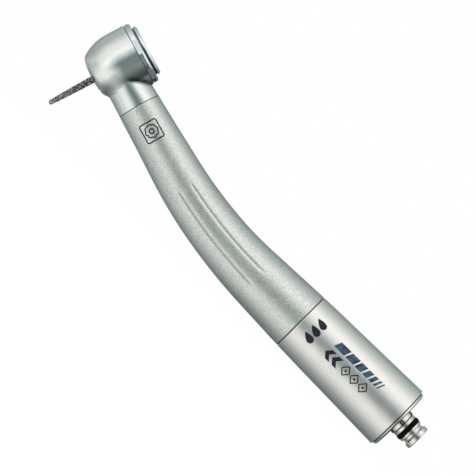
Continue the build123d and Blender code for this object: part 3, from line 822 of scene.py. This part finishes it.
# The disc spring under the button.
SPRING_TOP = -0.34
SPRING_BOTTOM = -1.44
SPRING_RADII = (2.2, 4.6)
SPRING_THICKNESS = 0.16
SLOT_HALF_LENGTH = 0.7
SLOT_HALF_WIDTH = 0.25
spring_outline = [
    (SPRING_RADII[0], SPRING_TOP), (SPRING_RADII[1], SPRING_BOTTOM + SPRING_THICKNESS),
    (SPRING_RADII[1], SPRING_BOTTOM), (SPRING_RADII[0], SPRING_TOP - SPRING_THICKNESS),
]
spring = turned_on_head("button_spring_disc", spring_outline, 96)
slots = []
for slot in range(6):
    turn = slot * math.pi / 3
    outward = math.cos(turn) * TO_BODY + math.sin(turn) * Y_AXIS
    sideways = np.cross(HEAD_UP, outward)
    middle = round_head(3.0, turn, -1.0)
    half_edges = (SLOT_HALF_LENGTH * outward, SLOT_HALF_WIDTH * sideways, 2.0 * HEAD_UP)
    slots.append(block(f"spring_slot_{slot}", middle, *half_edges))
combine(spring, "DIFFERENCE", *slots)
finish_piece(spring, TURNED_STEEL, ["button_spring"])
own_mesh(spring)


# ---- the bur
BUR_TIP = -22.3
GRIT_TOP = -11.85
TIP_RADIUS = 0.47
SHANK_TOP = -3.4
SHANK_RADIUS = 0.8  # of a standard 1.6 mm shank
GRAIN_COUNT = 1650
GRAIN_SIZES = (0.06, 0.125)
GRAIN_CROWDING = 0.88  # below 1, so that the grains stand closer together towards the tip
GRAIN_SEED = 31
GRAIN_REACH = 0.83  # the furthest a grain may stand out from the bur's axis
bond_side = natural_spline([(BUR_TIP, TIP_RADIUS), (-20.0, 0.56), (-16.0, 0.67), (GRIT_TOP, 0.75)])


def bur_core():
    """The bur's tapered nickel core with its round tip."""
    heights = np.linspace(BUR_TIP + TIP_RADIUS, GRIT_TOP - 0.05, 60)
    cone = [(float(bond_side(h)), h) for h in heights]
    tip = [
        (cone[0][0] * math.sin(t), BUR_TIP + TIP_RADIUS - TIP_RADIUS * math.cos(t))
        for t in np.linspace(0, math.pi / 2, 12)[:-1]
    ]
    return turned_on_head("bur_core", [*tip, *cone, (0, GRIT_TOP - 0.05)], 72)


def grit():
    """Diamond grains bonded all over the working end: small irregular crystals, half sunk in the nickel."""
    random = np.random.default_rng(GRAIN_SEED)
    heights = GRIT_TOP - (GRIT_TOP - BUR_TIP) * random.random(GRAIN_COUNT) ** GRAIN_CROWDING
    angles = random.random(GRAIN_COUNT) * 2 * math.pi
    sizes = random.uniform(*GRAIN_SIZES, GRAIN_COUNT)
    corners = np.array([(1, 0, 0), (-1, 0, 0), (0, 1, 0), (0, -1, 0), (0, 0, 1), (0, 0, -1)], float)
    upper = [(0, 2, 4), (2, 1, 4), (1, 3, 4), (3, 0, 4)]
    lower = [(2, 0, 5), (1, 2, 5), (3, 1, 5), (0, 3, 5)]
    points, faces = [], []
    for height, angle, size in zip(heights, angles, sizes):
        below_tip_hub = BUR_TIP + TIP_RADIUS - height
        if below_tip_hub > 0:
            reach = math.sqrt(max(0.0, TIP_RADIUS**2 - below_tip_hub**2))
        else:
            reach = float(bond_side(height))
        spin, _ = np.linalg.qr(random.normal(size=(3, 3)))
        crystal = corners * size * random.uniform(0.75, 1.2, (6, 3)) @ spin
        reach = min(reach, GRAIN_REACH - 0.8 * size)
        faces.append(np.array(upper + lower) + 6 * len(points))
        points.append(crystal + round_head(reach, angle, max(height, BUR_TIP + 0.6 * size)))
    return np.concatenate(points), np.concatenate(faces)


finish_piece(bur_core(), NICKEL_BOND, ["diamond_bur"], body="bur")
shank_outline = rounded([
    (0, GRIT_TOP - 0.06, 0), (0.79, GRIT_TOP - 0.06, 0.05), (SHANK_RADIUS, GRIT_TOP + 0.1, 0),
    (SHANK_RADIUS, SHANK_TOP - 0.15, 0), (0.65, SHANK_TOP, 0), (0, SHANK_TOP, 0),
])
finish_piece(turned_on_head("bur_shank", shank_outline, 96), SHANK_STEEL, body="bur")
grains = new_object("bur_grit", *grit())
finish_piece(grains, DIAMOND, sharp=1, weighted=False, body="bur")

# ---- the plug and end plate
plate_outline = rounded([
    (3.05, 0, 0.04), (7.28, 0, 0.55), (7.28, -0.65, 0.05), (6.85, -0.65, 0), (6.85, -0.85, 0),
    (7.06, -0.85, 0), (7.06, -3.4, 0.1), (6.3, -3.4, 0.1), (6.3, -0.65, 0), (3.05, -0.65, 0.04),
])
end_plate = turned_on_body("rear_end_plate_disc", plate_outline)
finish_piece(end_plate, SLEEVE_SATIN, ["rear_end_plate"])

plug_outline = rounded([
    (1.1, -6.0, 0.05), (2.3, -6.0, 0.1), (2.3, 0.8, 0), (2.6, 0.8, 0), (2.6, 0.0, 0), (2.85, 0.0, 0),
    (2.85, 0.14, 0), (3.02, 0.14, 0.02), (3.02, 1.0, 0.06), (2.66, 1.0, 0), (2.66, 1.22, 0),
    (2.85, 1.22, 0.05), (2.85, 1.9, 0.05), (2.38, 1.9, 0), (2.38, 3.05, 0), (2.85, 3.05, 0.05),
    (2.85, 3.45, 0.05), (2.4, 3.65, 0.05), (2.4, 4.15, 0.05), (2.85, 4.6, 0.08), (2.85, 5.45, 0.06),
    (2.7, 5.6, 0.05), (1.1, 5.6, 0.08),
])
plug = turned_on_body("coupling_plug_body", plug_outline)
plug.data.materials.append(PLUG_STEEL)
WINDOW_X, WINDOW_HALF_LENGTH, WINDOW_HALF_WIDTH = 0.57, 0.43, 0.43
PORT_PLACE = np.array((1.9, 2.2)) / 2.907 * 1.75  # the air and water ports' Y and -Z
plug_cutters, latches = [], []
for window in range(6):
    turn = window * math.pi / 3
    outward = np.array((0, -math.cos(turn), math.sin(turn)))
    sideways = np.array((0, math.sin(turn), math.cos(turn)))
    middle = np.array((WINDOW_X, 0, 0)) + 2.9 * outward
    half_edges = (np.array((WINDOW_HALF_LENGTH, 0, 0)), WINDOW_HALF_WIDTH * sideways, 0.4 * outward)
    plug_cutters.append(block(f"window_{window}", middle, *half_edges))
    latches.append((middle - 0.65 * outward, outward, sideways))
for side in (-1, 1):
    y, z = -side * PORT_PLACE[0], -PORT_PLACE[1]
    plug_cutters.append(rod(f"port_{side}", (-6.5, y, z), (6.0, y, z), 0.35))
# The cut faces inside the windows and ports take painted shade.
combine(plug, "DIFFERENCE", *plug_cutters, inside=RECESS_PAINTED_SHADE)
finish_piece(plug, PLUG_STEEL, ["coupling_plug"])
pin = rounded([(0, 0, 0), (0.2, 0, 0), (0.2, 0.72, 0.12), (0, 0.72, 0)], steps=5)
for number, axes in enumerate(latches):
    finish_piece(turned(f"plug_latch_{number}", pin, *axes, 32), PLUG_STEEL)
# Thin dark linings of painted shade in the plug's cavity, relief groove and seat.
for name, inner, outer, start, end in (
    ("plug_cavity_lining", 2.29, 2.33, 0.02, 0.78),
    ("plug_relief_lining", 2.6, 2.68, 1.01, 1.21),
    ("plug_seat_lining", 2.83, 2.87, 0.01, 0.13),
):
    lining = turned_on_body(name, box(inner, outer, start, end), 128)
    finish_piece(lining, RECESS_PAINTED_SHADE)

SEAL_START, SEAL_END = 1.93, 3.02
seal_middle, seal_half = (SEAL_START + SEAL_END) / 2, (SEAL_END - SEAL_START) / 2
turns = np.linspace(-math.pi / 2, math.pi / 2, 24)
crown = [(2.7 + 0.28 * math.cos(t), seal_middle + seal_half * math.sin(t)) for t in turns]
plug_seal = turned_on_body("plug_seal_ring", [(2.4, SEAL_START), *crown, (2.4, SEAL_END)])
finish_piece(plug_seal, RUBBER, ["plug_o_ring"])


# ---- the marks
MARK_LIFT = 0.012
MARK_ROOT = 0.03


def on_skin(flat, lift):
    """Wrap flat points (station, length around from the -Y side) on the body's outside."""
    flat = np.asarray(flat, float)
    radius = body_radius(flat[..., 0])
    return body_point(flat[..., 0], flat[..., 1] / radius, radius + lift)


def ribbon(path, half_width, closed=False):
    """A thin closed strip along a flat path, wrapped on the body. Returns its points and faces."""
    path = np.asarray(path, float)
    half_width = np.broadcast_to(np.asarray(half_width, float), len(path))
    if closed:
        along = np.roll(path, -1, axis=0) - np.roll(path, 1, axis=0)
    else:
        along = np.gradient(path, axis=0)
    along /= np.linalg.norm(along, axis=1)[:, None]
    across = np.stack([-along[:, 1], along[:, 0]], axis=1)
    steps = np.linspace(-1, 1, 7)
    flat = path[:, None] + across[:, None] * (half_width[:, None] * steps)[..., None]
    points = np.concatenate([on_skin(flat, MARK_LIFT), on_skin(flat[:, ::-1], -MARK_ROOT)], axis=1)
    if not closed:
        first, last = (np.tile(points[end].mean(axis=0), (1, points.shape[1], 1)) for end in (0, -1))
        points = np.concatenate([first, points, last])
    return points.reshape(-1, 3), grid_faces(len(points), points.shape[1], close_rows=closed)


def arc(middle, radius, first, last, spacing=0.1):
    count = max(5, int(abs(last - first) * radius / spacing))
    t = np.linspace(first, last, count)
    return np.array(middle) + radius * np.stack([np.cos(t), np.sin(t)], axis=1)


def dot(middle, radius):
    across, along = middle
    steps = np.linspace(-0.995, 0.995, 25) * radius
    path = np.stack([across + steps, np.full(len(steps), along)], axis=1)
    return ribbon(path, np.sqrt(radius**2 - steps**2))


def drop(round_end, radius, length, lean):
    """A water drop: round at the rear end, drawn out to a point towards the head."""
    bulb = np.linspace(-0.995, 0, 14) * radius
    u = np.concatenate([bulb, np.linspace(0, length, 20)[1:-1], [length * 0.995]])
    round_half = np.sqrt(np.maximum(radius**2 - u**2, 0))
    pointed_half = radius * (1 - np.clip(u / length, 0, 1) ** 1.6)
    path = np.stack([round_end[0] + u, round_end[1] + lean * u], axis=1)
    return ribbon(path, np.where(u < 0, round_half, pointed_half))


def patch(corners, spacing=0.25):
    """A solid four-sided mark, wrapped on the body. The corners run around it."""
    a, b, c, d = (np.array(corner, float) for corner in corners)
    across = max(2, int(np.linalg.norm(b - a) / spacing))
    along = max(2, int(np.linalg.norm(d - a) / spacing))
    i, j = np.meshgrid(np.linspace(0, 1, along + 1), np.linspace(0, 1, across + 1), indexing="ij")
    i, j = i[..., None], j[..., None]
    flat = (1 - i) * ((1 - j) * a + j * b) + i * ((1 - j) * d + j * c)
    top, root = on_skin(flat, MARK_LIFT), on_skin(flat, -MARK_ROOT)
    middles = [(top[end] + root[end]) / 2 for end in (0, -1)]
    first, last = (np.concatenate([middle, middle[::-1]])[None] for middle in middles)
    points = np.concatenate([first, np.concatenate([top, root[:, ::-1]], axis=1), last])
    return points.reshape(-1, 3), grid_faces(len(points), points.shape[1], close_rows=False)


def outline_of(corners):
    """A closed path around a polygon, with points along each side."""
    corners = np.array(corners, float)
    path = []
    for here, following in zip(corners, np.roll(corners, -1, axis=0)):
        pieces = max(1, int(np.linalg.norm(following - here) / 0.15))
        path.extend(here + (following - here) * k / pieces for k in range(pieces))
    return np.array(path)


def mark(name, strips, material):
    """One mark made of several strips."""
    points, faces = zip(*strips)
    starts = np.cumsum([0, *map(len, points)])
    faces = [strip_faces + start for strip_faces, start in zip(faces, starts)]
    obj = new_object(name, np.concatenate(points), np.concatenate(faces))
    finish_piece(obj, material, weighted=False)


# A rounded square around a small turbine wheel, on the grip next to the neck seam
middle = np.array((80.75, -0.25))
corners = [(*(middle + half), 0.35) for half in ((2.075, 2), (-2.075, 2), (-2.075, -2), (2.075, -2))]
strips = [ribbon(outline_of(rounded(corners)), 0.15, closed=True)]
strips.append(ribbon(arc(middle, 0.5, 0, 2 * math.pi)[:-1], 0.15, closed=True))
for blade in range(8):
    turn = blade * math.pi / 4
    hub = middle + np.array((math.cos(turn), math.sin(turn)))
    strips.append(ribbon(arc(hub, 0.46, turn - 0.4 * math.pi, turn + 0.45 * math.pi, 0.06), 0.14))
mark("mark_turbine_badge", strips, LASER_INK)

# Three water drops side by side, just behind the body seam
strips = [drop((25.5, t), 0.82, 1.95, 0.25) for t in (-1.35, 0.65, 2.65)]
mark("mark_spray_symbol", strips, LASER_INK)

# Leaning blocks that get shorter towards the rear, for speed
low, high, lean, first = 1.3, 3.1, 0.36, 20.7
strips = []
for length in (2.9, 2.3, 1.8, 1.35, 0.95, 0.6, 0.35):
    last = first - length
    corners = [(first + lean, low), (last + lean, low), (last - lean, high), (first - lean, high)]
    strips.append(patch(corners))
    first = last - 0.42
mark("mark_speed_stripes", strips, BLUE_INK)

# Two bold chevrons pointing at the head, then three open diamonds with a dot in each
low, middle, high = -1.9, -0.7, 0.5
strips = []
for tip in (21.6, 19.6):
    for edge in (low, high):
        corners = [(tip, middle), (tip - 1.15, middle), (tip - 2.2, edge), (tip - 1.05, edge)]
        strips.append(patch(corners))
for hub in (15.6, 13.1, 10.6):
    corners = [(hub + 1.05, middle), (hub, high), (hub - 1.05, middle), (hub, low)]
    strips.append(ribbon(outline_of(corners), 0.13, closed=True))
    strips.append(dot((hub, middle), 0.27))
mark("mark_chevrons_and_diamonds", strips, LASER_INK)


# ---- floor, light and camera
def pale_floor():
    """A matte pale floor. It shows from above only, so the object can be looked at from below."""
    material = bpy.data.materials.new("pale_floor")
    material.use_nodes = True
    tree = material.node_tree
    nodes = tree.nodes
    shader = nodes["Principled BSDF"]
    set_inputs(shader, {"Roughness": 0.9, "Emission Color": (1, 1, 1, 1), "Emission Strength": 0.72})
    mottle = Value(tree, nodes.new("ShaderNodeTexCoord").outputs["Object"]).noise(40.0, detail=4.0)
    mottle.colour_between((0.58, 0.58, 0.58), (0.62, 0.62, 0.62)).feed(shader.inputs["Base Color"])
    from_below = nodes.new("ShaderNodeNewGeometry").outputs["Backfacing"]
    one_sided = mix_shaders(tree, from_below, shader, nodes.new("ShaderNodeBsdfTransparent"))
    tree.links.new(one_sided, nodes["Material Output"].inputs["Surface"])
    return material


FLOOR_DROP = 70.0
FLOOR_RADIUS = 6000.0
floor_z = cad_box[0].z / MM - FLOOR_DROP
turns = even_angles(0, 128)
rim = np.stack([FLOOR_RADIUS * np.cos(turns), FLOOR_RADIUS * np.sin(turns), 0 * turns + floor_z], axis=1)
floor = new_object("pale_floor", rim, [list(range(128))])
floor.data.materials.append(pale_floor())
floor.visible_glossy = False

TENT = (  # degrees from straight ahead of the object's -Y side, brightness of the light tent there
    (0, 0.235), (10, 0.345), (20, 0.72), (30, 1.10), (42, 1.33), (55, 1.36), (66, 1.24), (80, 1.00),
    (97, 0.70), (113, 0.55), (133, 0.38), (152, 0.27), (180, 0.42),
)
TENT_PEAK = max(brightness for _, brightness in TENT)
CARD_TURN = math.radians(-15)  # the dark card's direction around the Y axis, from +X towards +Z
SHADE_TINT = (0.76, 1, 0.98, 1)


def studio_world():
    """A light tent around the object, as a function of direction: a bright ring, dim straight ahead.

    The shares of x and z tell where around the Y axis a direction points. The camera sees plain white.
    """
    world = bpy.data.worlds.new("studio")
    bpy.context.scene.world = world
    world.use_nodes = True
    tree = world.node_tree
    nodes, links = tree.nodes, tree.links
    nodes.clear()
    parts = nodes.new("ShaderNodeSeparateXYZ")
    links.new(nodes.new("ShaderNodeTexCoord").outputs["Generated"], parts.inputs["Vector"])
    x, y, z = (Value(tree, parts.outputs[name]) for name in "XYZ")
    across = (x * x + z * z).maths("SQRT")
    x_share, z_share = x / across, z / across

    tent = nodes.new("ShaderNodeValToRGB")
    ramp = tent.color_ramp
    ramp.interpolation = "CARDINAL"
    ramp.elements[0].position, ramp.elements[1].position = 0.0, 1.0
    for degrees, _ in TENT[1:-1]:
        ramp.elements.new(degrees / 180)
    for element, (_, brightness) in zip(ramp.elements, TENT):
        value = brightness / TENT_PEAK
        element.color = (value * (0.80 + 0.26 * value), value, value * (1.01 - 0.04 * value), 1)
    from_ahead = (y * -1.0).maths("ARCCOSINE") / math.pi
    from_ahead.feed(tent.inputs["Fac"])
    brighter_above = z * (y * 0.25 + 0.2) + 1.0

    # A dark card on the +X side, and the half dark stretch above it
    toward_card = (x * math.cos(CARD_TURN) + z * math.sin(CARD_TURN)) / across
    on_card = toward_card.fade(0.4, 1, 0, 1) * z_share.fade(0.05, 0.4, 1, 0)
    on_card = on_card * z_share.fade(-0.85, -0.35, 0.45, 1)
    darkness = x.fade(0, 0.42, 0, 0.72) + x.fade(0.5, 0.95, 0, 0.2)
    above_card = x_share.fade(0.1, 0.55, 0, 0.5) * z.fade(0, 0.15, 0, 1)
    above_card = above_card * y.fade(-0.9, -0.7, 1, 0)
    shade = on_card * darkness + above_card

    # On the -X side: two patches of extra light in front, one behind and one low down
    in_front = x.fade(-0.2, -0.05, 0.28, 0) * x.fade(-0.75, -0.45, 0, 1)
    ahead = y.fade(-0.99, -0.93, 0.45, 0) * x.fade(-0.12, 0, 1, 0)
    patches = in_front + ahead + y.fade(0.1, 0.6, 0, 0.35)
    left = x_share.fade(-0.85, -0.4, 1, 0) * patches + x.fade(-0.8, -0.45, 0.9, 1)
    low_left = x_share.fade(-0.2, -0.06, 1, 0) * y.fade(-0.35, 0.1, 0, 0.58)
    left = left * (low_left * z.fade(-0.5, -0.2, 1, 0) + 1)

    # Below, the tent is dimmer on both sides
    low_sides = x.fade(0.12, 0.35, 0, 0.33) + x.fade(-0.55, -0.3, 0.25, 0)
    low_sides = low_sides * z.fade(-0.6, -0.35, 1, 0)
    unshaded = brighter_above * left * (low_sides * -1.0 + 1.0)
    strength = unshaded * (shade * -1.0 + 1.0) * TENT_PEAK

    tint = nodes.new("ShaderNodeMixRGB")
    tint.blend_type = "MULTIPLY"
    shade.feed(tint.inputs["Fac"])
    links.new(tent.outputs["Color"], tint.inputs["Color1"])
    tint.inputs["Color2"].default_value = SHADE_TINT
    light = nodes.new("ShaderNodeBackground")
    links.new(tint.outputs["Color"], light.inputs["Color"])
    strength.feed(light.inputs["Strength"])
    plain = nodes.new("ShaderNodeBackground")
    plain.inputs["Color"].default_value = (1, 1, 1, 1)
    seen = nodes.new("ShaderNodeLightPath").outputs["Is Camera Ray"]
    output = nodes.new("ShaderNodeOutputWorld")
    links.new(mix_shaders(tree, seen, light, plain), output.inputs["Surface"])


studio_world()

key = bpy.data.lights.new("key_light", "AREA")
key.shape = "RECTANGLE"
key.size, key.size_y = 0.6, 0.4
key.energy = 0.08
key_object = add_object("key_light", key)
key_object.location = (-0.25, -0.35, 0.65)
key_object.rotation_euler = (Vector((-0.05, 0, 0)) - key_object.location).to_track_quat("-Z", "Y").to_euler()

CAMERA_DISTANCE = 700.0
CAMERA_FOOT = (-32.0, -1.3)  # where the camera stands, across from the body (X, Z)
AIM = (-51.6, 3.1)  # what the middle of the picture shows (X, Z)
FRAME_WIDTH = 100.7
camera = bpy.data.cameras.new("camera")
camera_object = add_object("camera", camera)
eye = Vector((CAMERA_FOOT[0], -CAMERA_DISTANCE, CAMERA_FOOT[1])) * MM
target = Vector((AIM[0], 0, AIM[1])) * MM
back = (eye - target).normalized()
right = Vector((-1, 0, 1)).cross(back).normalized()
up = back.cross(right)
camera_object.matrix_world = Matrix.Translation(eye) @ Matrix((right, up, back)).transposed().to_4x4()
camera.lens = camera.sensor_width * (eye - target).length / (FRAME_WIDTH * MM)
camera.clip_start, camera.clip_end = 0.01, 20
bpy.context.scene.camera = camera_object
bpy.context.scene.view_settings.view_transform = "Standard"
